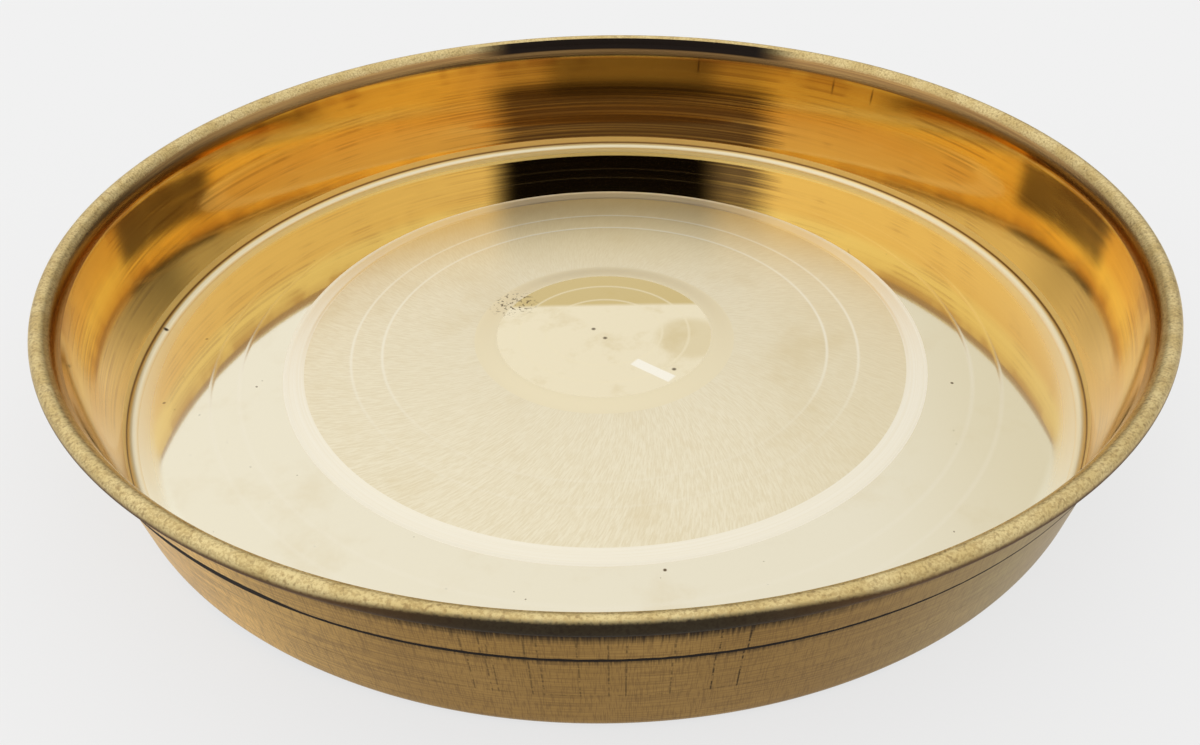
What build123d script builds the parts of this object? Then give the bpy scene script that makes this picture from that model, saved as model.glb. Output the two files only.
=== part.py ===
from build123d import *
import os
from math import acos, atan2, ceil, cos, degrees, radians, sin

# A brass thali plate. One sheet is spun into a flat floor and a flared wall. Its edge is rolled
# outwards over a wire into a bead, then folded down the outside of the wall as a flat hem.
# Sizes are millimetres. The plate stands on z = 0 and its axis is Z.

# Overall sizes
rim_diameter = 280.0  # across the outside of the bead
plate_height = 41.5  # from the table to the top of the bead

# Sheet, wall and corner
sheet = 1.0  # thickness of the brass
wall_flare = 8.9  # degrees that the wall leans out from upright
corner_radius = 2.5  # inside bend between the floor and the wall
facet_depth = 0.09  # most that a narrow flat facet of a bend stands off the true curve

# Rolled rim
wire_diameter = 1.6  # wire inside the bead
wire_sides = 8  # flats drawn round the wire
wire_clearance = 0.1  # round the wire, inside the bead
wire_butt_gap = 0.8  # between the two cut ends of the wire
shoulder_radius = 12.0  # gentle bend where the wall runs out into the bead
shoulder_turn = 26.0  # degrees of that bend
hem_gap = 0.15  # slot between the hem and the wall
hem_drop = 13.2  # from the wire's centre down the wall to the raw edge of the hem

# Turned floor, with insets counted inwards
scribe_width = 0.6  # of each scribed line
scribe_depth = 0.12
outer_scribe_insets = (17.8, 25.2)  # from the edge of the flat floor
band_inset = 36.7  # from the edge of the flat floor to the turned band
band_width = 5.6
band_depth = 0.15
band_slope = 0.5  # width of each sloping side of the band
inner_scribe_insets = (12.8, 21.4)  # from the inner edge of the turned band
disc_diameter = 74.6  # low disc in the middle of the floor
disc_height = 0.3
disc_border = 6.5  # width of the sloping border of the disc


def at_angle(angle, length=1.0):
    """A step of some length in the section, at an angle counted from straight out."""
    return Vector(length * cos(radians(angle)), length * sin(radians(angle)))


# Centres of the four bends of the section, from the bead inwards and down
along = at_angle(90 - wall_flare)  # up the wall
across = at_angle(-wall_flare)  # out through the wall
bead_radius = wire_diameter / 2 + wire_clearance + sheet
bead_centre = Vector(rim_diameter / 2 - bead_radius, plate_height - bead_radius)
wall_angle = 180 - wall_flare  # way that the polished face of the wall looks
shoulder_end = wall_angle - shoulder_turn
shoulder_centre = bead_centre - at_angle(shoulder_end, shoulder_radius - bead_radius)
wall_top = shoulder_centre - across * shoulder_radius
shoulder_drop = (bead_centre - wall_top).dot(along)  # bead centre down to the straight wall
hem_offset = 2 * sheet + hem_gap - (bead_centre - wall_top).dot(across)  # bead centre out to the hem's face

# The neck is the bend under the bead that lays the hem flat where the straight wall begins
neck_radius = (shoulder_drop**2 + hem_offset**2 - bead_radius**2) / (2 * (bead_radius - hem_offset))
neck_turn = degrees(atan2(shoulder_drop, hem_offset + neck_radius))
bead_end = -wall_flare - neck_turn
neck_centre = bead_centre + at_angle(bead_end, bead_radius + neck_radius)
hem_length = hem_drop - shoulder_drop

# The corner is the bend between the floor and the wall
corner_height = sheet + corner_radius
corner_rise = wall_top.Y - corner_height
floor_radius = wall_top.X - (corner_radius + corner_rise * sin(radians(wall_flare))) / cos(radians(wall_flare))
corner_centre = Vector(floor_radius, corner_height)


def bend(centre, radius, start, end):
    """Points round a bend, from one angle to another, with a narrow facet between each two."""
    facet_turn = 2 * degrees(acos(1 - facet_depth / radius))
    facets = ceil(abs(end - start) / facet_turn)
    return [centre + at_angle(start + (end - start) * step / facets, radius) for step in range(facets + 1)]


def sheet_side(depth):
    """Points along one side of the sheet, at a depth below its polished face."""
    corner = bend(corner_centre, corner_radius + depth, -90, -wall_flare)
    shoulder = bend(shoulder_centre, shoulder_radius - depth, wall_angle, shoulder_end)
    bead = bend(bead_centre, bead_radius - depth, shoulder_end, bead_end)
    neck = bend(neck_centre, neck_radius + depth, bead_end + 180, wall_angle)
    raw_edge = neck[-1] - along * hem_length
    return [Vector(0, sheet - depth)] + corner + shoulder + bead[1:] + neck[1:] + [raw_edge]


def scribed_lines(radii, surface):
    """Draw the cut of scribed lines at some radii of a flat surface."""
    half = scribe_width / 2
    with Locations(*[(radius, surface) for radius in radii]):
        Polygon((-half, scribe_depth), (-half, 0), (0, -scribe_depth), (half, 0), (half, scribe_depth))


band_outer = floor_radius - band_inset
band_inner = band_outer - band_width
disc_radius = disc_diameter / 2
disc_flat = disc_radius - disc_border

with BuildPart() as dish:
    with BuildSketch(Plane.XZ) as sheet_section:
        with BuildLine() as sheet_outline:
            Polyline(*sheet_side(0), *reversed(sheet_side(sheet)), close=True)
        make_face()
    revolve(axis=Axis.Z)

    with BuildSketch(Plane.XZ) as disc_section:
        with BuildLine() as disc_outline:
            Polyline(
                (0, sheet),
                (disc_radius, sheet),
                (disc_flat, sheet + disc_height),
                (0, sheet + disc_height),
                close=True,
            )
        make_face()
    revolve(axis=Axis.Z)

    with BuildSketch(Plane.XZ) as turned_section:
        scribed_lines([floor_radius - inset for inset in outer_scribe_insets], sheet)
        scribed_lines([band_inner - inset for inset in inner_scribe_insets], sheet)
        Polygon(
            (band_inner, sheet + band_depth),
            (band_inner, sheet),
            (band_inner + band_slope, sheet - band_depth),
            (band_outer - band_slope, sheet - band_depth),
            (band_outer, sheet),
            (band_outer, sheet + band_depth),
        )
    revolve(axis=Axis.Z, mode=Mode.SUBTRACT)

with BuildPart() as rim_wire:
    with BuildSketch(Plane.XZ) as wire_section:
        with Locations((bead_centre.X, bead_centre.Y)):
            RegularPolygon(wire_diameter / 2, wire_sides)
    revolve(axis=Axis.Z, revolution_arc=360 - degrees(wire_butt_gap / bead_centre.X))

dish.part.label = "dish"
rim_wire.part.label = "rim_wire"

os.makedirs("parts", exist_ok=True)
export_step(dish.part, "parts/dish.step")
export_step(rim_wire.part, "parts/rim_wire.step")
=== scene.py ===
import bpy
import math
import numpy as np
from mathutils import Matrix, Vector
from types import SimpleNamespace


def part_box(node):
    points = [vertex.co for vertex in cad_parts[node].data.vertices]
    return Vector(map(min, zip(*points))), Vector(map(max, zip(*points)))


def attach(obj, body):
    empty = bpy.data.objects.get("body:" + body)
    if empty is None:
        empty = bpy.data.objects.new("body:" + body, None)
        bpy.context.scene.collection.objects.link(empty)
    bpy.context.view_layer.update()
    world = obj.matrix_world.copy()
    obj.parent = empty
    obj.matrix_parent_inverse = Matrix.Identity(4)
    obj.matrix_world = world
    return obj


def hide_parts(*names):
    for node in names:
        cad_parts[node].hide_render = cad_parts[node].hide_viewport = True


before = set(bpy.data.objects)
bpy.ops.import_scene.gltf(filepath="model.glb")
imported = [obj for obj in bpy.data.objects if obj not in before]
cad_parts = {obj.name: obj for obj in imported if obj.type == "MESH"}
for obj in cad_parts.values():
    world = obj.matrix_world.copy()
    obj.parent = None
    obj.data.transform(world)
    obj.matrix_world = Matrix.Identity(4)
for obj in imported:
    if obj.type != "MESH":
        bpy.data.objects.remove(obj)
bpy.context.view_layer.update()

# Sizes of the sheet and its bends, in metres, the same as in the construction
SHEET = 0.001
FLARE = math.radians(8.9)
CORNER_RADIUS = 0.0025
WIRE_DIAMETER = 0.0016
WIRE_CLEARANCE = 0.0001
WIRE_BUTT_GAP = 0.0008
SHOULDER_RADIUS = 0.012
SHOULDER_TURN = math.radians(26)
HEM_GAP = 0.00015
HEM_DROP = 0.0132

# Rings of the turned floor, as radii in metres, with shallower cuts than in the construction
OUTER_SCRIBES = (0.1092, 0.1018)
INNER_SCRIBES = (0.0719, 0.0633)
DISC_SCRIBES = (0.0245, 0.0168)
SCRIBE_DEPTH = 0.00001
SCRIBE_HALF = 0.0006
BAND_OUTER = 0.0903
BAND_INNER = 0.0847
BAND_DEPTH = 0.00007
BAND_SLOPE = 0.0012

# Low disc in the middle of the floor, with a slight dome and a small dent
DISC_RADIUS = 0.0373
DISC_FLAT = 0.0308
DISC_HEIGHT = 0.0003
DISC_DOME = 0.0004
DENT_PLACE = Vector((0.015, -0.015))
DENT_RADIUS = 0.007
DENT_DEPTH = 0.00012

# Fineness of the turned meshes
SECTORS = 720
FLOOR_STEP = 0.0022
DISC_STEP = 0.001
DISC_EDGE_STEP = 0.0006
FLOOR_EDGE_GAP = 0.0002  # between the last ring of the floor and the corner
UNDERSIDE_INSET = 0.008  # of the first ring of the underside
UNDERSIDE_HOLE = 0.002  # radius inside which the underside has no ring
UNDERSIDE_STEP = 0.012
JUST_OUTSIDE = 1e-6  # decides the zone at a ring that lies on an edge
BEND_STEP = math.radians(9)
WALL_ROWS = 18
WIRE_SIDES = 16
WIRE_SECTORS = 360
SHARP_ANGLE = math.radians(50)

# Zones of the dish, in the order of its material slots
ZONES = (
    "floor", "band", "brushed", "disc", "corner", "wall", "shoulder", "bead", "hem", "outside", "underside",
)

dish_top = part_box("dish")[1]
RIM_RADIUS = dish_top.x
PLATE_HEIGHT = dish_top.z


def at_angle(angle, length=1.0):
    """A step in the section, at an angle counted from straight out."""
    return Vector((length * math.cos(angle), length * math.sin(angle)))


# Centres of the bends of the section, as in the construction
along = at_angle(math.pi / 2 - FLARE)
across = at_angle(-FLARE)
bead_radius = WIRE_DIAMETER / 2 + WIRE_CLEARANCE + SHEET
bead_centre = Vector((RIM_RADIUS - bead_radius, PLATE_HEIGHT - bead_radius))
wall_angle = math.pi - FLARE
shoulder_end = wall_angle - SHOULDER_TURN
shoulder_centre = bead_centre - at_angle(shoulder_end, SHOULDER_RADIUS - bead_radius)
wall_top = shoulder_centre - across * SHOULDER_RADIUS
shoulder_drop = (bead_centre - wall_top).dot(along)
hem_offset = 2 * SHEET + HEM_GAP - (bead_centre - wall_top).dot(across)
neck_radius = (shoulder_drop**2 + hem_offset**2 - bead_radius**2) / (2 * (bead_radius - hem_offset))
neck_turn = math.atan2(shoulder_drop, hem_offset + neck_radius)
bead_end = -FLARE - neck_turn
neck_centre = bead_centre + at_angle(bead_end, bead_radius + neck_radius)
hem_length = HEM_DROP - shoulder_drop
hem_top = neck_centre - across * neck_radius
raw_edge = hem_top - along * hem_length
corner_height = SHEET + CORNER_RADIUS
corner_rise = wall_top.y - corner_height
floor_radius = wall_top.x - (CORNER_RADIUS + corner_rise * math.sin(FLARE)) / math.cos(FLARE)
corner_centre = Vector((floor_radius, corner_height))


def smooth_step(low_edge, high_edge, value):
    """0 below one edge and 1 above the other, with a soft run between."""
    t = np.clip((value - low_edge) / (high_edge - low_edge), 0, 1)
    return t * t * (3 - 2 * t)


def floor_height(radius):
    """Height of the polished floor at a radius, with its rings and its low disc."""
    height = SHEET + DISC_HEIGHT * (1 - smooth_step(DISC_FLAT, DISC_RADIUS, radius))
    height += DISC_DOME * np.clip(1 - (radius / DISC_RADIUS) ** 2, 0, 1)
    in_band = smooth_step(BAND_INNER, BAND_INNER + BAND_SLOPE, radius)
    in_band *= 1 - smooth_step(BAND_OUTER - BAND_SLOPE, BAND_OUTER, radius)
    height -= BAND_DEPTH * in_band
    for line in OUTER_SCRIBES + INNER_SCRIBES + DISC_SCRIBES:
        height -= SCRIBE_DEPTH * (1 - smooth_step(0, SCRIBE_HALF, abs(radius - line)))
    return height


def floor_zone(radius):
    """Zone of the floor at a radius."""
    if radius < DISC_RADIUS:
        return "disc"
    if radius < BAND_INNER:
        return "brushed"
    if radius < BAND_OUTER:
        return "band"
    return "floor"


def floor_radii():
    """Radii of the rings of floor vertices, closer together at each turned line."""
    radii = list(np.arange(DISC_STEP, DISC_RADIUS, DISC_STEP))
    radii += list(np.arange(DISC_RADIUS + FLOOR_STEP, floor_radius, FLOOR_STEP))
    for line in OUTER_SCRIBES + INNER_SCRIBES + DISC_SCRIBES:
        radii += [line + SCRIBE_HALF * share for share in (-1.2, -0.8, -0.4, 0, 0.4, 0.8, 1.2)]
    for edge in (BAND_INNER, BAND_OUTER - BAND_SLOPE):
        radii += [edge + BAND_SLOPE * share for share in (-0.1, 0, 0.2, 0.4, 0.6, 0.8, 1, 1.1)]
    for edge in (DISC_FLAT, DISC_RADIUS):
        radii += [edge - DISC_EDGE_STEP, edge, edge + DISC_EDGE_STEP]
    radii = np.unique(np.round(radii, 6))
    return radii[radii < floor_radius - FLOOR_EDGE_GAP]


def bend(centre, radius, start, end):
    """Points round a bend of the section, from one angle to another."""
    steps = max(3, math.ceil(abs(end - start) / BEND_STEP))
    return [centre + at_angle(start + (end - start) * step / steps, radius) for step in range(steps + 1)]


def run(start, end, rows):
    """Points along a straight stretch of the section, without its two ends."""
    return [start.lerp(end, row / rows) for row in range(1, rows)]


def sheet_side(depth):
    """Stretches of one side of the sheet, at a depth below its polished face, by name."""
    side = {
        "corner": bend(corner_centre, CORNER_RADIUS + depth, -math.pi / 2, -FLARE),
        "shoulder": bend(shoulder_centre, SHOULDER_RADIUS - depth, wall_angle, shoulder_end),
        "bead": bend(bead_centre, bead_radius - depth, shoulder_end, bead_end)[1:],
        "neck": bend(neck_centre, neck_radius + depth, bead_end + math.pi, wall_angle)[1:],
    }
    side["raw_edge"] = [side["neck"][-1] - along * hem_length]
    side["wall"] = run(side["corner"][-1], side["shoulder"][0], WALL_ROWS)
    side["hem"] = run(side["neck"][-1], side["raw_edge"][0], WALL_ROWS // 2)
    return side


def dish_section():
    """Points round the whole section of the dish, each with the zone of the face that follows it."""
    section = [(Vector((r, floor_height(r))), floor_zone(r + JUST_OUTSIDE)) for r in floor_radii()]
    face, back = sheet_side(0), sheet_side(SHEET)
    for name, zone in (("corner", "corner"), ("wall", "wall"), ("shoulder", "shoulder"), ("bead", "bead"),
                       ("neck", "hem"), ("hem", "hem"), ("raw_edge", "hem")):
        section += [(point, zone) for point in face[name]]
    for name in ("raw_edge", "hem", "neck", "bead", "shoulder", "wall", "corner"):
        section += [(point, "outside") for point in reversed(back[name])]
    underside = np.arange(floor_radius - UNDERSIDE_INSET, UNDERSIDE_HOLE, -UNDERSIDE_STEP)
    section += [(Vector((r, 0)), "underside") for r in underside]
    return section


def smooth_piece(name, mesh):
    """Shade a mesh smoothly apart from its sharp edges, and add it to the scene as a piece of the plate."""
    mesh.polygons.foreach_set("use_smooth", [True] * len(mesh.polygons))
    mesh.set_sharp_from_angle(angle=SHARP_ANGLE)
    piece = bpy.data.objects.new(name, mesh)
    bpy.context.scene.collection.objects.link(piece)
    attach(piece, "root")
    return piece


def turned_dish():
    """The sheet as one closed turned mesh, with a material slot for each zone."""
    section = dish_section()
    rings = len(section)
    turn = np.arange(SECTORS) * 2 * math.pi / SECTORS
    radius = np.array([point.x for point, zone in section])[:, None] * np.ones(SECTORS)
    height = np.array([point.y for point, zone in section])[:, None] * np.ones(SECTORS)
    from_dent = np.hypot(radius * np.cos(turn) - DENT_PLACE.x, radius * np.sin(turn) - DENT_PLACE.y)
    on_top = (height > SHEET / 2) & (radius < DISC_RADIUS)
    height -= DENT_DEPTH * on_top * (1 - smooth_step(0, DENT_RADIUS, from_dent))
    points = np.stack([radius * np.cos(turn), radius * np.sin(turn), height], 2).reshape(-1, 3)
    top, bottom = rings * SECTORS, rings * SECTORS + 1
    points = np.vstack([points, [0, 0, floor_height(0.0)], [0, 0, 0]])
    faces, zones = [], []
    for ring in range(rings - 1):
        zone = ZONES.index(section[ring][1])
        for sector in range(SECTORS):
            step = (sector + 1) % SECTORS
            a, b = ring * SECTORS + sector, ring * SECTORS + step
            faces.append((a + SECTORS, b + SECTORS, b, a))
            zones.append(zone)
    last = (rings - 1) * SECTORS
    for sector in range(SECTORS):
        step = (sector + 1) % SECTORS
        faces.append((top, sector, step))
        zones.append(ZONES.index("disc"))
        faces.append((bottom, last + step, last + sector))
        zones.append(ZONES.index("underside"))
    mesh = bpy.data.meshes.new("turned_dish")
    mesh.from_pydata(points.tolist(), [], faces)
    mesh.polygons.foreach_set("material_index", zones)
    return smooth_piece("turned_dish", mesh)


def round_wire():
    """The wire ring in the bead, with its two cut ends."""
    sides, sectors = WIRE_SIDES, WIRE_SECTORS
    turn = 2 * math.pi - WIRE_BUTT_GAP / bead_centre.x
    points, faces = [], []
    for sector in range(sectors + 1):
        angle = turn * sector / sectors
        for side in range(sides):
            point = bead_centre + at_angle(2 * math.pi * side / sides, WIRE_DIAMETER / 2)
            points.append((point.x * math.cos(angle), point.x * math.sin(angle), point.y))
    for sector in range(sectors):
        for side in range(sides):
            a, b = sector * sides + side, sector * sides + (side + 1) % sides
            faces.append((a, a + sides, b + sides, b))
    faces.append(tuple(range(sides)))
    faces.append(tuple(sectors * sides + side for side in reversed(range(sides))))
    mesh = bpy.data.meshes.new("round_wire")
    mesh.from_pydata(points, [], faces)
    return smooth_piece("round_wire", mesh)


class Graph:
    """Short calls that add shader nodes to one material or world."""

    def __init__(self, owner):
        owner.use_nodes = True
        self.tree = owner.node_tree
        self.tree.nodes.clear()

    def node(self, kind, *inputs, **settings):
        """Add a node, set its properties and its inputs in order, and return it."""
        made = self.tree.nodes.new("ShaderNode" + kind)
        for key, value in settings.items():
            setattr(made, key, value)
        for place, value in enumerate(inputs):
            self.feed(made.inputs[place], value)
        return made

    def feed(self, socket, value):
        """Link a socket to another, or set it to a plain value."""
        if isinstance(value, bpy.types.NodeSocket):
            self.tree.links.new(value, socket)
        elif value is not None:
            socket.default_value = value

    def math(self, operation, a, b=None, c=None):
        """The result of one operation on up to three values."""
        return self.node("Math", a, b, c, operation=operation).outputs[0]

    def product(self, value, *others):
        """The product of some values."""
        for other in others:
            value = self.math("MULTIPLY", value, other)
        return value

    def most(self, value, *others):
        """The largest of some values."""
        for other in others:
            value = self.math("MAXIMUM", value, other)
        return value

    def scaled(self, value, share, base):
        """A share of a value, added to a base."""
        return self.math("MULTIPLY_ADD", value, share, base)

    def soft(self, value, start, end, low=0.0, high=1.0):
        """A soft run from low to high while a value goes from start to end."""
        made = self.node("MapRange", value, start, end, low, high, interpolation_type="SMOOTHSTEP")
        return made.outputs[0]

    def near(self, value, place, reach):
        """1 where a value is at a place, falling softly to 0 at some reach from it."""
        distance = self.math("ABSOLUTE", self.math("SUBTRACT", value, place))
        return self.soft(distance, 0.0, reach, 1.0, 0.0)

    def mix(self, factor, a, b):
        """A colour between two."""
        made = self.node("Mix", data_type="RGBA")
        for name, value in ((0, factor), (6, a), (7, b)):
            self.feed(made.inputs[name], (*value, 1) if isinstance(value, tuple) else value)
        return made.outputs[2]

    def tinted(self, colour, *layers):
        """A colour under some layers, each given as how much it covers and its own colour."""
        for cover, tint in layers:
            colour = self.mix(cover, colour, tint)
        return colour

    def vector(self, x, y, z):
        """Three values as a vector."""
        return self.node("CombineXYZ", x, y, z).outputs[0]

    def noise(self, vector, scale, detail=2.0, rough=0.5):
        """Soft noise between 0 and 1."""
        made = self.node("TexNoise")
        for name, value in (("Vector", vector), ("Scale", scale), ("Detail", detail), ("Roughness", rough)):
            self.feed(made.inputs[name], value)
        return made.outputs["Fac"]

    def place(self):
        """Object coordinates: x, y, z, the radius from the axis and the direction from it."""
        split = self.node("SeparateXYZ", self.node("TexCoord").outputs["Object"])
        x, y, z = split.outputs
        radius = self.math("SQRT", self.math("ADD", self.product(x, x), self.product(y, y)))
        out_x = self.math("DIVIDE", x, radius)
        out_y = self.math("DIVIDE", y, radius)
        return SimpleNamespace(x=x, y=y, z=z, radius=radius, out_x=out_x, out_y=out_y)

    def metal(self, colour, roughness, heights=(), bare=1.0, edge=(1.0, 1.0, 1.0)):
        """Finish the material as metal, bare or dark under dirt and painted shade, with a tint where it is
        seen edge-on.

        Its bumps are given as pairs of height and depth.
        """
        shader = self.node("BsdfPrincipled")
        shader.inputs["Specular Tint"].default_value = (*edge, 1)
        shader.inputs["Specular IOR Level"].default_value = DIRT_AND_SHADE_SHINE
        self.feed(shader.inputs["Metallic"], bare)
        self.feed(shader.inputs["Base Color"], colour)
        self.feed(shader.inputs["Roughness"], roughness)
        normal = None
        for height, depth in heights:
            bump = self.node("Bump")
            bump.inputs["Strength"].default_value = 1.0
            bump.inputs["Distance"].default_value = depth
            self.feed(bump.inputs["Height"], height)
            self.feed(bump.inputs["Normal"], normal)
            normal = bump.outputs[0]
        self.feed(shader.inputs["Normal"], normal)
        output = self.node("OutputMaterial")
        self.tree.links.new(shader.outputs[0], output.inputs[0])


# Colours, as linear shares of red, green and blue. First the outer floor
POLISHED = (0.84, 0.775, 0.60)
STAINED = (0.72, 0.60, 0.37)
DULL_RIGHT = (0.70, 0.60, 0.36)
FLOOR_DIRT = (0.12, 0.075, 0.035)
FLOOR_LINE = (0.90, 0.84, 0.70)
# painted pale reflection at the back of the outer floor
PALE_PAINTED_REFLECTION = (0.93, 0.915, 0.75)
PALE_EDGE = (0.95, 0.93, 0.76)

# Turned band and brushed floor
BAND_DARK = (0.91, 0.84, 0.67)
BAND_PALE = (0.94, 0.88, 0.73)
STROKE_DARK = (0.81, 0.71, 0.49)
STROKE_PALE = (0.90, 0.82, 0.615)
BRUSHED_RIGHT = (0.76, 0.65, 0.41)
BRUSHED_CLOUD = (0.72, 0.58, 0.32)
# painted brown reflection at the back of the brushed floor
BRUSHED_PAINTED_REFLECTION = (0.84, 0.67, 0.33)
BRUSHED_LINE = (0.95, 0.89, 0.73)

# Centre disc
DISC_BRASS = (0.86, 0.765, 0.54)
DISC_CLOUD = (0.68, 0.55, 0.30)
# painted gold reflection at the back of the disc
DISC_PAINTED_REFLECTION = (0.60, 0.45, 0.165)
DISC_TAN = (0.66, 0.53, 0.27)
DISC_LINE = (0.88, 0.78, 0.54)
DISC_BRIGHT = (0.99, 0.95, 0.84)
DISC_DIRT = (0.14, 0.10, 0.06)

# Corner
CORNER_DARK = (0.84, 0.73, 0.47)
CORNER_PALE = (0.90, 0.81, 0.58)
CORNER_GOLD = (0.90, 0.64, 0.24)
CORNER_LINE = (0.16, 0.06, 0.022)
CORNER_DIRT = (0.05, 0.03, 0.015)

# Inside of the wall
WALL_LOW = (0.87, 0.53, 0.135)
WALL_HIGH = (0.97, 0.70, 0.22)
WALL_LINES = (0.66, 0.36, 0.09)
WALL_WORN = (0.42, 0.20, 0.055)
WALL_TOP = (0.52, 0.26, 0.07)
WALL_NEAR = (0.66, 0.38, 0.13)
# painted dark reflection low at the back of the wall
WALL_PAINTED_REFLECTION = (0.10, 0.055, 0.025)
WALL_DIRT = (0.22, 0.115, 0.045)

# Rim
GRAIN_DARK = (0.74, 0.57, 0.25)
GRAIN_PALE = (0.86, 0.70, 0.35)
GRAIN_BROWN = (0.36, 0.21, 0.07)
GRAIN_PIT = (0.22, 0.12, 0.045)
# painted brown shade at the foot of the shoulder, beside the bead
SHOULDER_SHADE_DARK = (0.36, 0.20, 0.075)
SHOULDER_SHADE_PALE = (0.50, 0.30, 0.11)
# painted shade low on the outside of the bead, at its sides
BEAD_PAINTED_SHADE = (0.12, 0.06, 0.025)

# Outside, underside and wire
SATIN = (0.50, 0.31, 0.10)
# painted light on the left of the outside, painted shade on its right and at its front
SATIN_PAINTED_LIGHT_LEFT = (1.0, 0.62, 0.16)
SATIN_PAINTED_SHADE_RIGHT = (0.36, 0.27, 0.10)
SATIN_PAINTED_SHADE_FRONT = (0.30, 0.16, 0.035)
SATIN_LINES = (0.15, 0.075, 0.02)
SATIN_EDGE = (0.96, 0.90, 0.80)
UNDERSIDE_LINES = (0.42, 0.28, 0.12)
WIRE_LINES = (0.70, 0.55, 0.29)

# Near-black for dirt and for painted shade on the brass, with its faint shine, and the studio's floor and
# background
DIRT_AND_SHADE = (0.012, 0.007, 0.0045)
DIRT_AND_SHADE_SHINE = 0.08
PALE = (0.88, 0.88, 0.88, 1)

# Marks on the floor, as x and y in metres, with their sizes
FLOOR_SPECKS = ((-0.1174, -0.0295), (-0.1151, 0.0004), (0.0928, -0.0268), (0.0123, -0.0916))
FLOOR_SPECK_SIZE = 0.0006
CORNER_SPECKS = ((-0.1283, 0.0050),)
CORNER_SPECK_SIZE = 0.0009
DISC_SPECKS = ((0.0190, -0.0190), (0.0003, -0.0037), (-0.0030, 0.0010))
DISC_SPECK_SIZE = 0.0009
DISC_PITS = ((-0.027, 0.016),)
DISC_PITS_SIZE = 0.009
DISC_STAINS = ((0.025, -0.004),)
DISC_STAIN_SIZE = 0.016
RUB_PLACE = Vector((0.0132, -0.0193))  # middle of a bright rubbed strip on the disc
RUB_ALONG = Vector((0.774, -0.633))  # direction of that strip

# Marks on the wall, in degrees round to the right from straight behind
WALL_MARKS = (16, 38, 44.5)
BACK_DARK_TURN = 5.5  # middle of the dark stretch at the back: a painted dark reflection low on the wall, and black on the shoulder

# Marks on the outside, in degrees round to the right from the front
DRIPS = (-10.6, -9.2, -8.7, -6.0, -5.1, -2.3, -0.1, 1.2, 4.6, 7.8, 9.9)
SEAM_OPENING = -33  # where the dark seam under the hem is widest

# Heights of marks, in metres
CORNER_LINE_HEIGHT = corner_height - 0.0008
WALL_MARK_HEIGHT = 0.0325
DRIP_END = 0.0128
FOOT_SHADOW_HEIGHT = 0.0002  # painted contact shadow round the foot of the outside

# Heights in metres between which one finish turns into another
CORNER_TO_GOLD = (corner_height - 0.0019, corner_height - 0.0011)
WALL_LOW_TO_HIGH = (0.019, 0.026)
WALL_TO_TOP = (0.029, 0.0365)
# where the painted dark reflection starts, low at the back of the wall
WALL_TO_PAINTED_REFLECTION = (0.029, 0.023)
# where the painted brown shade of the shoulder gives way to grain, and where it turns black at the back
SHOULDER_TO_GRAIN = (0.0389, 0.0404)
SHOULDER_TO_BLACK = (0.0370, 0.0378)

# Radii, a place behind the axis, and distances from the middle of the rubbed strip, in the same way
FLOOR_TO_EDGE = (floor_radius - 0.0055, floor_radius - 0.0015)
DISC_TO_BORDER = (DISC_FLAT - 0.0003, DISC_FLAT + 0.0003)
# where the painted gold reflection starts at the back of the disc
DISC_TO_PAINTED_REFLECTION = (0.0126, 0.0150)
RUB_END = (0.0060, 0.0068)
RUB_SIDE = (0.0014, 0.0020)

# Brush strokes: how far they turn for each metre outwards, in radians, and how fast they change on the way
STROKE_SWIRL = 5.0
STROKE_CHANGE = 2.0


def new_material(name):
    """An empty material and the graph that fills it."""
    material = bpy.data.materials.new(name)
    return material, Graph(material)


def round_noise(g, at, place, fineness, change, detail=3.0):
    """Noise by a radius or height, with some fineness, and by direction, changing round the plate."""
    across_lines = g.product(place, fineness)
    round_x = g.product(at.out_x, change)
    round_y = g.product(at.out_y, change)
    return g.noise(g.vector(round_x, round_y, across_lines), 1.0, detail)


def turned_lines(g, at, place, spacing, change=1.0):
    """Fine lines that run round the axis, by radius or height, changing slowly round the plate."""
    return round_noise(g, at, place, 1 / spacing, change)


def scribed(g, radius, lines, reach):
    """1 on the scribed lines at some radii."""
    return g.most(*[g.near(radius, line, reach) for line in lines])


def spots(g, flat, places, size):
    """1 at some places of the flat floor, falling softly to 0 at the size of a spot."""
    found = []
    for x, y in places:
        distance = g.node("VectorMath", flat, (x, y, 0.0), operation="DISTANCE").outputs["Value"]
        found.append(g.soft(distance, size * 0.3, size, 1.0, 0.0))
    return g.most(*found)


def from_behind(g, at, degrees):
    """1 at some degrees round to the right from straight behind, less away from there."""
    angle = math.radians(degrees)
    return g.scaled(at.out_x, math.sin(angle), g.product(at.out_y, math.cos(angle)))


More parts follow.
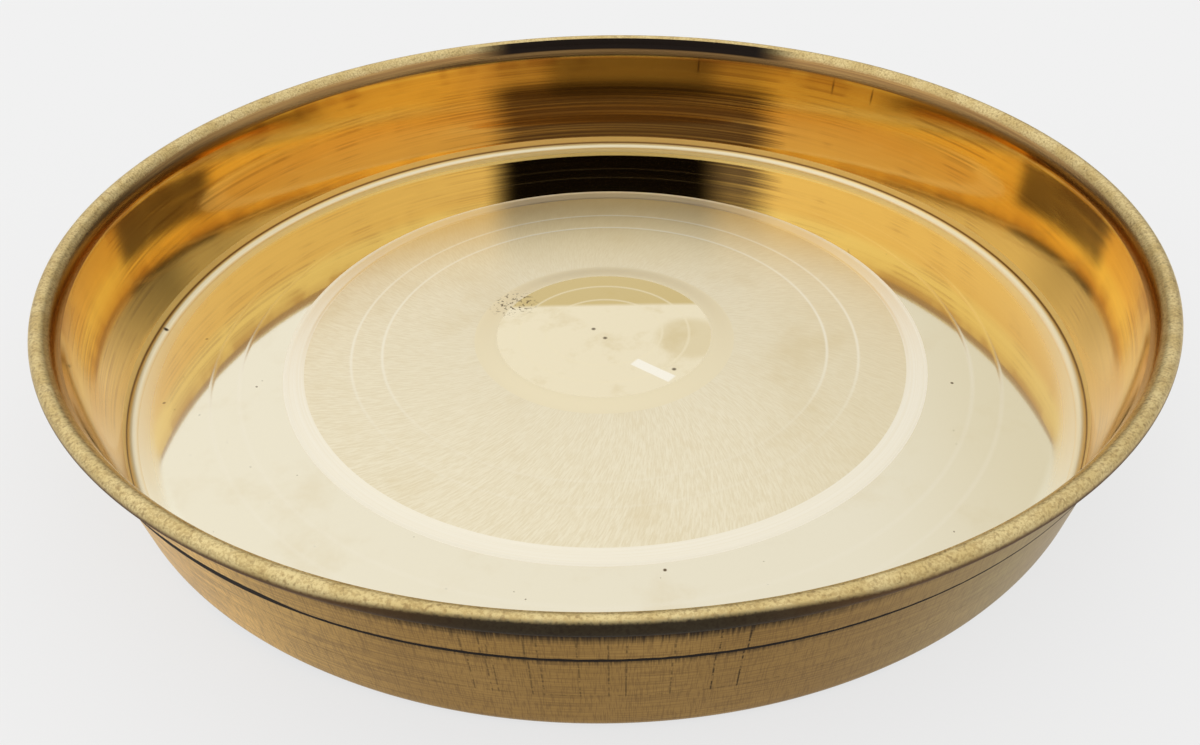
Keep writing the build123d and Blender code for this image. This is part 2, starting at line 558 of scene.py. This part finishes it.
def polished_floor():
    """Polished brass of the outer floor, with a painted pale reflection at the back, and paler beside the
    corner.
    """
    material, g = new_material("polished_floor")
    at = g.place()
    flat = g.vector(at.x, at.y, 0.0)
    stain = g.soft(g.noise(flat, 38.0, 5.0, 0.6), 0.52, 0.72, 0.0, 0.30)
    specks = g.soft(g.noise(flat, 420.0, 2.0), 0.74, 0.78, 0.0, 0.7)
    specks = g.most(specks, spots(g, flat, FLOOR_SPECKS, FLOOR_SPECK_SIZE))
    right = g.soft(at.x, 0.05, 0.11, 0.0, 0.6)
    lines = turned_lines(g, at, at.radius, 0.0005)
    cut = scribed(g, at.radius, OUTER_SCRIBES, 0.0010)
    # Painted pale reflection at the back, along the edge of the gold reflection
    back = g.soft(g.scaled(at.y, 0.27, at.radius), 0.104, 0.124, 0.0, 0.7)
    edge = g.soft(at.radius, *FLOOR_TO_EDGE)
    colour = g.tinted(
        POLISHED,
        (stain, STAINED),
        (right, DULL_RIGHT),
        (specks, FLOOR_DIRT),
        (g.product(cut, g.soft(at.y, -0.05, 0.03, 0.15, 0.6)), FLOOR_LINE),
        (back, PALE_PAINTED_REFLECTION),
        (g.product(edge, 0.8), PALE_EDGE),
    )
    rough = g.scaled(lines, 0.03, 0.035)
    rough = g.scaled(cut, 0.08, rough)
    rough = g.scaled(edge, 0.30, rough)
    g.metal(colour, rough, [(lines, 0.0000006)])
    return material


def turned_band():
    """Bright band with fine turned lines."""
    material, g = new_material("turned_band")
    at = g.place()
    lines = turned_lines(g, at, at.radius, 0.0003)
    colour = g.mix(g.soft(lines, 0.3, 0.7), BAND_DARK, BAND_PALE)
    g.metal(colour, 0.30, [(lines, 0.000004)])
    return material


def brushed_floor():
    """Matte floor inside the band, brushed in strokes that swirl outwards, with a painted brown reflection at
    the back.
    """
    material, g = new_material("brushed_floor")
    at = g.place()
    turned = g.node("VectorRotate", g.vector(at.out_x, at.out_y, 0.0), rotation_type="Z_AXIS")
    g.feed(turned.inputs["Angle"], g.product(at.radius, STROKE_SWIRL))
    split = g.node("SeparateXYZ", turned.outputs[0])
    strokes = g.vector(split.outputs[0], split.outputs[1], g.product(at.radius, STROKE_CHANGE))
    fine = g.noise(strokes, 150.0, 3.0, 0.7)
    cloud = g.noise(g.vector(at.x, at.y, 0.0), 26.0, 4.0, 0.6)
    cut = scribed(g, at.radius, INNER_SCRIBES, 0.0007)
    colour = g.tinted(
        g.mix(g.soft(fine, 0.32, 0.68), STROKE_DARK, STROKE_PALE),
        (g.soft(at.x, 0.02, 0.08, 0.0, 0.4), BRUSHED_RIGHT),
        (g.soft(cloud, 0.50, 0.75, 0.0, 0.45), BRUSHED_CLOUD),
        # Painted brown reflection at the back
        (g.soft(at.y, 0.02, 0.08, 0.0, 0.75), BRUSHED_PAINTED_REFLECTION),
        (g.product(cut, g.soft(at.y, -0.05, 0.0, 0.15, 0.8)), BRUSHED_LINE),
    )
    rough = g.scaled(fine, 0.16, 0.24)
    g.metal(colour, rough, [(fine, 0.00002)])
    return material


def rubbed_strip(g, at):
    """1 on the bright rubbed strip of the disc."""
    x = g.math("SUBTRACT", at.x, RUB_PLACE.x)
    y = g.math("SUBTRACT", at.y, RUB_PLACE.y)
    along_strip = g.scaled(x, RUB_ALONG.x, g.product(y, RUB_ALONG.y))
    over_strip = g.scaled(x, -RUB_ALONG.y, g.product(y, RUB_ALONG.x))
    inside_ends = g.soft(g.math("ABSOLUTE", along_strip), *RUB_END, 1.0, 0.0)
    inside_sides = g.soft(g.math("ABSOLUTE", over_strip), *RUB_SIDE, 1.0, 0.0)
    return g.product(inside_ends, inside_sides)


def centre_disc():
    """Polished disc with a matte border, a painted gold reflection at the back, stains, pits and a rubbed
    strip.
    """
    material, g = new_material("centre_disc")
    at = g.place()
    flat = g.vector(at.x, at.y, 0.0)
    lines = turned_lines(g, at, at.radius, 0.0005)
    border = g.soft(at.radius, *DISC_TO_BORDER)
    cut = scribed(g, at.radius, DISC_SCRIBES, 0.0007)
    cloud = g.noise(flat, 70.0, 4.0, 0.6)
    tan = g.scaled(cloud, 0.02, spots(g, flat, DISC_STAINS, DISC_STAIN_SIZE))
    pits = g.soft(g.noise(flat, 900.0, 2.0), 0.54, 0.64)
    pits = g.product(spots(g, flat, DISC_PITS, DISC_PITS_SIZE), pits)
    specks = g.most(pits, spots(g, flat, DISC_SPECKS, DISC_SPECK_SIZE))
    colour = g.tinted(
        DISC_BRASS,
        (g.soft(cloud, 0.50, 0.72, 0.0, 0.45), DISC_CLOUD),
        # Painted gold reflection at the back of the disc
        (g.product(g.soft(at.y, *DISC_TO_PAINTED_REFLECTION), 0.85), DISC_PAINTED_REFLECTION),
        (g.soft(tan, 0.3, 0.9, 0.0, 0.5), DISC_TAN),
        (g.most(border, g.product(cut, 0.6)), DISC_LINE),
        (g.product(rubbed_strip(g, at), 0.8), DISC_BRIGHT),
        (g.product(specks, 0.85), DISC_DIRT),
    )
    rough = g.scaled(border, 0.34, 0.06)
    rough = g.scaled(cut, 0.12, rough)
    rough = g.scaled(specks, 0.4, rough)
    g.metal(colour, rough, [(lines, 0.000001)])
    return material


def corner_bend():
    """Bend between the floor and the wall: pale below and gold above, with a thin dark line in the gold."""
    material, g = new_material("corner_bend")
    at = g.place()
    lines = turned_lines(g, at, at.z, 0.0004)
    colour = g.tinted(
        g.mix(g.soft(lines, 0.35, 0.65), CORNER_DARK, CORNER_PALE),
        (g.soft(at.z, *CORNER_TO_GOLD), CORNER_GOLD),
        (g.product(g.near(at.z, CORNER_LINE_HEIGHT, 0.0006), 0.9), CORNER_LINE),
        (spots(g, g.vector(at.x, at.y, 0.0), CORNER_SPECKS, CORNER_SPECK_SIZE), CORNER_DIRT),
    )
    g.metal(colour, 0.36, [(lines, 0.000002)])
    return material


def inner_wall():
    """Polished inside of the wall, streaked with brown, brown at its top, with a painted dark reflection low
    at the back.
    """
    material, g = new_material("inner_wall")
    at = g.place()
    fine = turned_lines(g, at, at.z, 0.00022, 1.2)
    lines = turned_lines(g, at, at.z, 0.0006, 0.8)
    patchy = g.soft(g.noise(g.vector(at.x, at.y, at.z), 30.0, 3.0, 0.6), 0.44, 0.60)
    worn = g.product(g.soft(lines, 0.46, 0.66, 0.0, 0.5), patchy)
    top = g.product(g.soft(at.z, *WALL_TO_TOP), g.soft(patchy, 0.0, 1.0, 0.35, 0.8))
    near_side = g.soft(at.out_y, -0.45, -0.80, 0.0, 0.7)
    # Painted dark reflection low at the back of the wall
    ragged = g.scaled(lines, 0.05, from_behind(g, at, BACK_DARK_TURN))
    painted_dark_reflection = g.product(g.soft(ragged, 0.92, 0.97), g.soft(at.z, *WALL_TO_PAINTED_REFLECTION))
    painted_dark_reflection = g.product(painted_dark_reflection, g.soft(lines, 0.25, 0.55, 0.6, 0.95))
    marks = g.most(*[g.near(from_behind(g, at, degrees + 90), 0.0, 0.005) for degrees in WALL_MARKS])
    marks = g.product(marks, g.near(at.z, WALL_MARK_HEIGHT, 0.0040), g.soft(at.out_y, 0.3, 0.5))
    colour = g.tinted(
        g.mix(g.soft(at.z, *WALL_LOW_TO_HIGH), WALL_LOW, WALL_HIGH),
        (g.soft(fine, 0.40, 0.64, 0.0, 0.25), WALL_LINES),
        (worn, WALL_WORN),
        (top, WALL_TOP),
        (near_side, WALL_NEAR),
        (painted_dark_reflection, WALL_PAINTED_REFLECTION),
        (g.product(marks, 0.8), WALL_DIRT),
    )
    rough = g.scaled(lines, 0.08, 0.03)
    g.metal(colour, rough, [(lines, 0.0000015)])
    return material


def grainy_gold(g, at):
    """Colour of the matte grainy brass of the rim, with the height of its grain."""
    spot = g.vector(at.x, at.y, at.z)
    grain = g.noise(spot, 1800.0, 2.0, 0.6)
    pits = g.soft(g.noise(spot, 1200.0, 1.0), 0.56, 0.70)
    cloud = g.noise(spot, 120.0, 3.0)
    colour = g.tinted(
        g.mix(g.soft(cloud, 0.35, 0.65), GRAIN_DARK, GRAIN_PALE),
        (g.soft(grain, 0.36, 0.60, 0.40, 0.0), GRAIN_BROWN),
        (g.product(pits, 0.38), GRAIN_PIT),
    )
    return colour, grain


def dull_shoulder():
    """The inside of the rim: grainy like the bead, with painted brown shade at its foot, and black at the
    back.
    """
    material, g = new_material("dull_shoulder")
    at = g.place()
    lines = turned_lines(g, at, at.z, 0.0004, 3.0)
    grainy, grain = grainy_gold(g, at)
    upper = g.soft(g.scaled(grain, 0.0006, at.z), *SHOULDER_TO_GRAIN)
    far = g.soft(from_behind(g, at, BACK_DARK_TURN), 0.89, 0.945)
    black_at_back = g.product(far, g.soft(at.z, *SHOULDER_TO_BLACK, 0.3, 1.0))
    # The brown below the grain is painted shade beside the bead.
    brown = g.mix(g.soft(lines, 0.35, 0.65), SHOULDER_SHADE_DARK, SHOULDER_SHADE_PALE)
    colour = g.tinted(brown, (upper, grainy), (black_at_back, DIRT_AND_SHADE))
    rough = g.scaled(upper, 0.32, 0.14)
    g.metal(colour, rough, [(grain, 0.00003)], g.math("SUBTRACT", 1.0, black_at_back))
    return material


def matte_bead():
    """Grainy brass of the bead, with a band of painted shade low on its outside, brown at the sides, wide and
    black at the front.
    """
    material, g = new_material("matte_bead")
    at = g.place()
    colour, grain = grainy_gold(g, at)
    # The dark band is painted shade under the round of the bead: brown at the sides, black and widest at the
    # front.
    front = g.soft(at.out_y, -0.93, -0.998)
    outward = g.math("SUBTRACT", g.math("SUBTRACT", at.radius, at.z), bead_centre.x - bead_centre.y)
    ragged = g.scaled(grain, 0.0010, outward)
    edge = g.scaled(front, -0.0020, 0.0016)
    under = g.soft(g.math("SUBTRACT", ragged, edge), -0.0005, 0.0010)
    shade_or_dirt = g.product(under, 0.97)
    colour = g.mix(shade_or_dirt, colour, g.mix(front, BEAD_PAINTED_SHADE, DIRT_AND_SHADE))
    bare = g.math("SUBTRACT", 1.0, g.product(shade_or_dirt, front))
    rough = g.scaled(shade_or_dirt, 0.2, 0.46)
    g.metal(colour, rough, [(grain, 0.00007)], bare)
    return material


def drip_marks(g, at, broken):
    """Thin upright lines of dots, thicker at the top, that end in a larger dot at about one height."""
    reach = g.soft(at.z, hem_top.y - 0.005, hem_top.y, 0.0021, 0.0050)
    marks = []
    for degrees in DRIPS:
        angle = math.radians(degrees)
        aside = g.scaled(at.out_x, math.cos(angle), g.product(at.out_y, math.sin(angle)))
        marks.append(g.near(aside, 0.0, reach))
    marks = g.product(g.most(*marks), g.soft(at.out_y, -0.8, -0.9))
    low_end = g.soft(at.z, DRIP_END - 0.0006, DRIP_END)
    dots = g.most(g.soft(broken, 0.36, 0.55), g.near(at.z, DRIP_END, 0.0008))
    return g.product(marks, g.product(low_end, dots))


def seam_dirt_and_foot_shadow(g, at, dark_line_height):
    """1 on a dark line just above a given height, uneven in width, thinner at the right and widest at its
    opening: dirt at the hem's raw edge, a painted contact shadow at the foot.
    """
    worn = round_noise(g, at, at.z, 0.0, 40.0)
    thick = g.scaled(worn, 0.0006, 0.0005)
    thick = g.product(thick, g.soft(at.out_x, 0.1, 0.6, 1.0, 0.6))
    opening = g.soft(from_behind(g, at, 180 - SEAM_OPENING), 0.985, 0.998)
    thick = g.scaled(opening, 0.0010, thick)
    return g.math("LESS_THAN", g.math("SUBTRACT", at.z, dark_line_height), thick)


def satin_outside(name, top, dark_line_height):
    """Satin brass of the outside: painted light on its left, painted shade on its right, at its front and
    just under its top edge, dark drips, and a dark line along its lower edge, dirt at the hem's raw edge and
    a painted contact shadow at the foot.
    """
    material, g = new_material(name)
    at = g.place()
    lines = turned_lines(g, at, at.z, 0.00028, 8.0)
    fibre = round_noise(g, at, at.z, 300.0, 560.0, 2.0)
    spot = g.vector(at.x, at.y, at.z)
    broken = g.noise(spot, 900.0, 1.0)
    cloud = g.noise(spot, 34.0, 4.0, 0.6)
    drips = g.product(drip_marks(g, at, broken), g.soft(at.out_x, 0.08, 0.13, 0.55, 0.9))
    tide = g.product(g.near(at.z, DRIP_END, 0.00025), g.product(g.soft(broken, 0.4, 0.6), 0.4))
    tide = g.product(tide, g.soft(at.out_y, -0.75, -0.9))
    # Painted shade just under the top edge, strongest at the front
    streaks = round_noise(g, at, at.z, 90.0, 300.0)
    ragged = g.math("ADD", at.z, g.scaled(streaks, 0.004, -0.0020))
    painted_shade_below_top = g.soft(ragged, top - 0.0038, top - 0.0004)
    painted_shade_below_top = g.product(painted_shade_below_top, g.soft(at.out_y, -0.90, -0.995, 0.2, 0.95))
    # Dirt from drips and at the hem's raw edge, with painted shade under the top edge and a painted contact
    # shadow at the foot
    shade_or_dirt = g.most(g.most(drips, tide), g.most(painted_shade_below_top, seam_dirt_and_foot_shadow(g, at, dark_line_height)))
    # Painted light on the left, painted shade on the right and at the front
    colour = g.tinted(
        g.mix(g.soft(at.out_x, 0.35, -0.75), SATIN_PAINTED_SHADE_RIGHT, SATIN_PAINTED_LIGHT_LEFT),
        (g.product(g.soft(at.out_y, -0.80, -0.98), 0.85), SATIN_PAINTED_SHADE_FRONT),
        (g.soft(cloud, 0.40, 0.66, 0.0, 0.25), SATIN),
        (g.soft(lines, 0.42, 0.64, 0.0, 0.5), SATIN_LINES),
        (g.soft(fibre, 0.45, 0.66, 0.0, 0.5), SATIN_LINES),
        (shade_or_dirt, DIRT_AND_SHADE),
    )
    rough = g.scaled(shade_or_dirt, 0.3, 0.34)
    bumps = [(lines, 0.000006), (fibre, 0.000006)]
    g.metal(colour, rough, bumps, g.math("SUBTRACT", 1.0, shade_or_dirt), SATIN_EDGE)
    return material


def plain_underside():
    """Satin brass of the underside, which the photo doesn't show."""
    material, g = new_material("plain_underside")
    at = g.place()
    lines = turned_lines(g, at, at.radius, 0.0008)
    g.metal(g.mix(lines, SATIN, UNDERSIDE_LINES), 0.35, [(lines, 0.00001)])
    return material


def drawn_wire():
    """Drawn brass of the hidden wire."""
    material, g = new_material("drawn_wire")
    at = g.place()
    lines = turned_lines(g, at, at.radius, 0.0002)
    g.metal(g.mix(lines, SATIN, WIRE_LINES), 0.3, [(lines, 0.000004)])
    return material


def pale_floor():
    """A plain pale floor that the plate stands on, with the plate's soft shadow."""
    size, drop, plainness = 4.0, 0.0002, 0.80
    mesh = bpy.data.meshes.new("studio_floor")
    corners = [(-size, -size, 0), (size, -size, 0), (size, size, 0), (-size, size, 0)]
    mesh.from_pydata(corners, [], [(0, 1, 2, 3)])
    floor = bpy.data.objects.new("studio_floor", mesh)
    floor.location.z = -drop
    bpy.context.scene.collection.objects.link(floor)
    material, g = new_material("studio_floor")
    spread = g.node("BsdfDiffuse", PALE)
    plain = g.node("Emission", PALE, 1.0)
    path = g.node("LightPath")
    seen = g.most(path.outputs["Is Camera Ray"], path.outputs["Is Glossy Ray"])
    seen = g.most(seen, path.outputs["Is Transmission Ray"])
    mixed = g.node("MixShader", g.product(seen, plainness), spread.outputs[0], plain.outputs[0])
    output = g.node("OutputMaterial")
    g.tree.links.new(mixed.outputs[0], output.inputs[0])
    mesh.materials.append(material)


# Middle of the dark stretch behind the plate, to the right of straight behind
BACK_TURN = math.radians(15)


def room_level(g):
    """Brightness of the room that the brass mirrors, by direction.

    It is darker at the horizon, low behind the plate, and high and low in front of it.
    """
    split = g.node("SeparateXYZ", g.node("TexCoord").outputs["Generated"])
    x, y, z = split.outputs
    flat = g.math("SQRT", g.math("MAXIMUM", g.math("SUBTRACT", 1.0, g.product(z, z)), 0.0001))
    ahead = g.math("DIVIDE", y, flat)
    aside = g.math("DIVIDE", x, flat)
    behind = g.scaled(ahead, math.cos(BACK_TURN), g.product(aside, math.sin(BACK_TURN)))
    low_behind = g.product(g.soft(behind, 0.30, 0.60), g.soft(behind, 0.70, 0.86, 0.45, 1.0))
    low_behind = g.product(low_behind, g.soft(z, 0.28, 0.47, 1.0, 0.0))
    high_front = g.product(g.soft(aside, -0.68, -0.50), g.soft(aside, 0.45, 0.62, 1.0, 0.0))
    high_front = g.product(high_front, g.soft(ahead, 0.0, -0.5))
    high_front = g.product(high_front, g.soft(z, 0.54, 0.60), g.soft(z, 0.71, 0.77, 1.0, 0.0))
    low_front = g.product(g.soft(ahead, -0.55, -0.85), g.soft(z, 0.12, 0.30, 1.0, 0.0))
    level = g.product(g.soft(z, 0.05, 0.50, 0.65, 1.0), g.soft(z, 0.03, 0.15, 0.35, 1.0))
    for stretch, shade in ((low_behind, 0.70), (high_front, 0.985), (low_front, 0.7)):
        level = g.product(level, g.scaled(stretch, -shade, 1.0))
    return g.product(level, g.scaled(x, -0.10, 0.97))


def studio_light():
    """Soft white light on the plate, a room for the brass to mirror and a plain pale background."""
    world = bpy.data.worlds.new("studio")
    bpy.context.scene.world = world
    g = Graph(world)
    path = g.node("LightPath")
    mirrored = g.most(path.outputs["Is Glossy Ray"], path.outputs["Is Transmission Ray"])
    light = g.node("Background", g.mix(mirrored, (1.0, 1.0, 1.0), room_level(g)), 1.0)
    plain = g.node("Background", PALE, 1.0)
    choose = g.node("MixShader", path.outputs["Is Camera Ray"], light.outputs[0], plain.outputs[0])
    output = g.node("OutputWorld")
    g.tree.links.new(choose.outputs[0], output.inputs[0])


def photo_camera():
    """A camera at the photograph's viewing angle."""
    distance, elevation = 0.2946, math.radians(34.42)
    pitch, yaw, roll = math.radians(2.076), math.radians(-0.264), math.radians(1.017)
    place = distance * Vector((0, -math.cos(elevation), math.sin(elevation)))
    ahead = -place.normalized()
    right = Vector((1, 0, 0))
    rows = Matrix((right, right.cross(ahead), -ahead))
    rows = Matrix.Rotation(yaw, 3, "Y") @ rows
    rows = Matrix.Rotation(pitch, 3, "X") @ rows
    rows = Matrix.Rotation(roll, 3, "Z") @ rows
    data = bpy.data.cameras.new("photo_camera")
    data.lens = 30.5
    data.sensor_width = 36.0
    data.clip_start = 0.01
    camera = bpy.data.objects.new("photo_camera", data)
    camera.matrix_world = Matrix.Translation(place) @ rows.transposed().to_4x4()
    bpy.context.scene.collection.objects.link(camera)
    bpy.context.scene.camera = camera


dish = turned_dish()
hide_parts("dish")
finishes = {
    "floor": polished_floor(),
    "band": turned_band(),
    "brushed": brushed_floor(),
    "disc": centre_disc(),
    "corner": corner_bend(),
    "wall": inner_wall(),
    "shoulder": dull_shoulder(),
    "bead": matte_bead(),
    "hem": satin_outside("satin_hem", hem_top.y, raw_edge.y),
    # The dark line at the foot of the outside is a painted contact shadow.
    "outside": satin_outside("satin_wall", raw_edge.y, FOOT_SHADOW_HEIGHT),
    "underside": plain_underside(),
}
for zone in ZONES:
    dish.data.materials.append(finishes[zone])

wire = round_wire()
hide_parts("rim_wire")
wire.data.materials.append(drawn_wire())

pale_floor()
studio_light()
photo_camera()
bpy.context.scene.view_settings.view_transform = "Standard"
